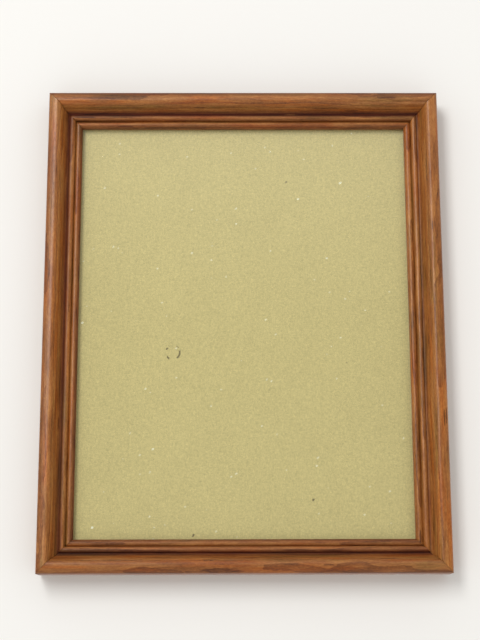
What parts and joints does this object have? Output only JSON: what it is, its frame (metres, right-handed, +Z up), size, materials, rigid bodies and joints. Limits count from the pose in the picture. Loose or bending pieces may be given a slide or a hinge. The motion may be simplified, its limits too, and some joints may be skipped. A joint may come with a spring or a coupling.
{
  "type": "glazed display frame",
  "caption": "Shallow wall-hung display frame: mitred wooden rails around glass and a backing board held by turn buttons.",
  "frame": {"origin": "on the wall plane, straight behind the middle notch of the sawtooth hanger", "axes": "+Z up, +Y into the wall, so the glass faces -Y; +X to the right as seen by someone facing the frame"},
  "size_m": [0.2276, 0.021, 0.2783],
  "materials": {
    "stained_wood": "brown stained open-grain wood under a semi-gloss lacquer",
    "clear_glass": "plain clear float glass",
    "chipboard": "dull pressed chipboard of mixed pulp with fine flecks",
    "zinc_steel": "bright zinc plate on stamped steel",
    "brassed_steel": "thin brass plate on stamped steel, slightly dulled",
    "bumper_rubber": "soft dark rubber"
  },
  "bodies": {
    "frame": {"rail_top": "stained_wood", "rail_right": "stained_wood", "rail_bottom": "stained_wood", "rail_left": "stained_wood", "glass_pane": "clear_glass", "backing_board": "chipboard", "sawtooth_hanger": "zinc_steel", "hanger_nail_left": "zinc_steel", "hanger_nail_right": "zinc_steel", "wall_bumper_left": "bumper_rubber", "wall_bumper_right": "bumper_rubber", "v_nail_top_right_1": "zinc_steel", "v_nail_top_right_2": "zinc_steel", "v_nail_bottom_right_1": "zinc_steel", "v_nail_bottom_right_2": "zinc_steel", "v_nail_bottom_left_1": "zinc_steel", "v_nail_bottom_left_2": "zinc_steel", "v_nail_top_left_1": "zinc_steel", "v_nail_top_left_2": "zinc_steel", "button_screw_top_1": "zinc_steel", "button_screw_top_2": "zinc_steel", "button_screw_right_1": "zinc_steel", "button_screw_right_2": "zinc_steel", "button_screw_bottom_1": "zinc_steel", "button_screw_bottom_2": "zinc_steel", "button_screw_left_1": "zinc_steel", "button_screw_left_2": "zinc_steel"},
    "turn_button_top_1": {"turn_button_top_1": "brassed_steel"},
    "turn_button_top_2": {"turn_button_top_2": "brassed_steel"},
    "turn_button_right_1": {"turn_button_right_1": "brassed_steel"},
    "turn_button_right_2": {"turn_button_right_2": "brassed_steel"},
    "turn_button_bottom_1": {"turn_button_bottom_1": "brassed_steel"},
    "turn_button_bottom_2": {"turn_button_bottom_2": "brassed_steel"},
    "turn_button_left_1": {"turn_button_left_1": "brassed_steel"},
    "turn_button_left_2": {"turn_button_left_2": "brassed_steel"}
  },
  "joints": [
    {"name": "turn_button_top_1_turn", "type": "hinge", "parent": "frame", "child": "turn_button_top_1", "pos_m": [-0.056, -0.0028, 0.00035], "axis": [0, 1, 0], "continuous": true},
    {"name": "turn_button_top_2_turn", "type": "hinge", "parent": "frame", "child": "turn_button_top_2", "pos_m": [0.056, -0.0028, 0.00035], "axis": [0, 1, 0], "continuous": true},
    {"name": "turn_button_right_1_turn", "type": "hinge", "parent": "frame", "child": "turn_button_right_1", "pos_m": [0.1064, -0.0028, -0.06345], "axis": [0, 1, 0], "continuous": true},
    {"name": "turn_button_right_2_turn", "type": "hinge", "parent": "frame", "child": "turn_button_right_2", "pos_m": [0.1064, -0.0028, -0.19945], "axis": [0, 1, 0], "continuous": true},
    {"name": "turn_button_bottom_1_turn", "type": "hinge", "parent": "frame", "child": "turn_button_bottom_1", "pos_m": [0.056, -0.0028, -0.26325], "axis": [0, 1, 0], "continuous": true},
    {"name": "turn_button_bottom_2_turn", "type": "hinge", "parent": "frame", "child": "turn_button_bottom_2", "pos_m": [-0.056, -0.0028, -0.26325], "axis": [0, 1, 0], "continuous": true},
    {"name": "turn_button_left_1_turn", "type": "hinge", "parent": "frame", "child": "turn_button_left_1", "pos_m": [-0.1064, -0.0028, -0.19945], "axis": [0, 1, 0], "continuous": true},
    {"name": "turn_button_left_2_turn", "type": "hinge", "parent": "frame", "child": "turn_button_left_2", "pos_m": [-0.1064, -0.0028, -0.06345], "axis": [0, 1, 0], "continuous": true}
  ]
}
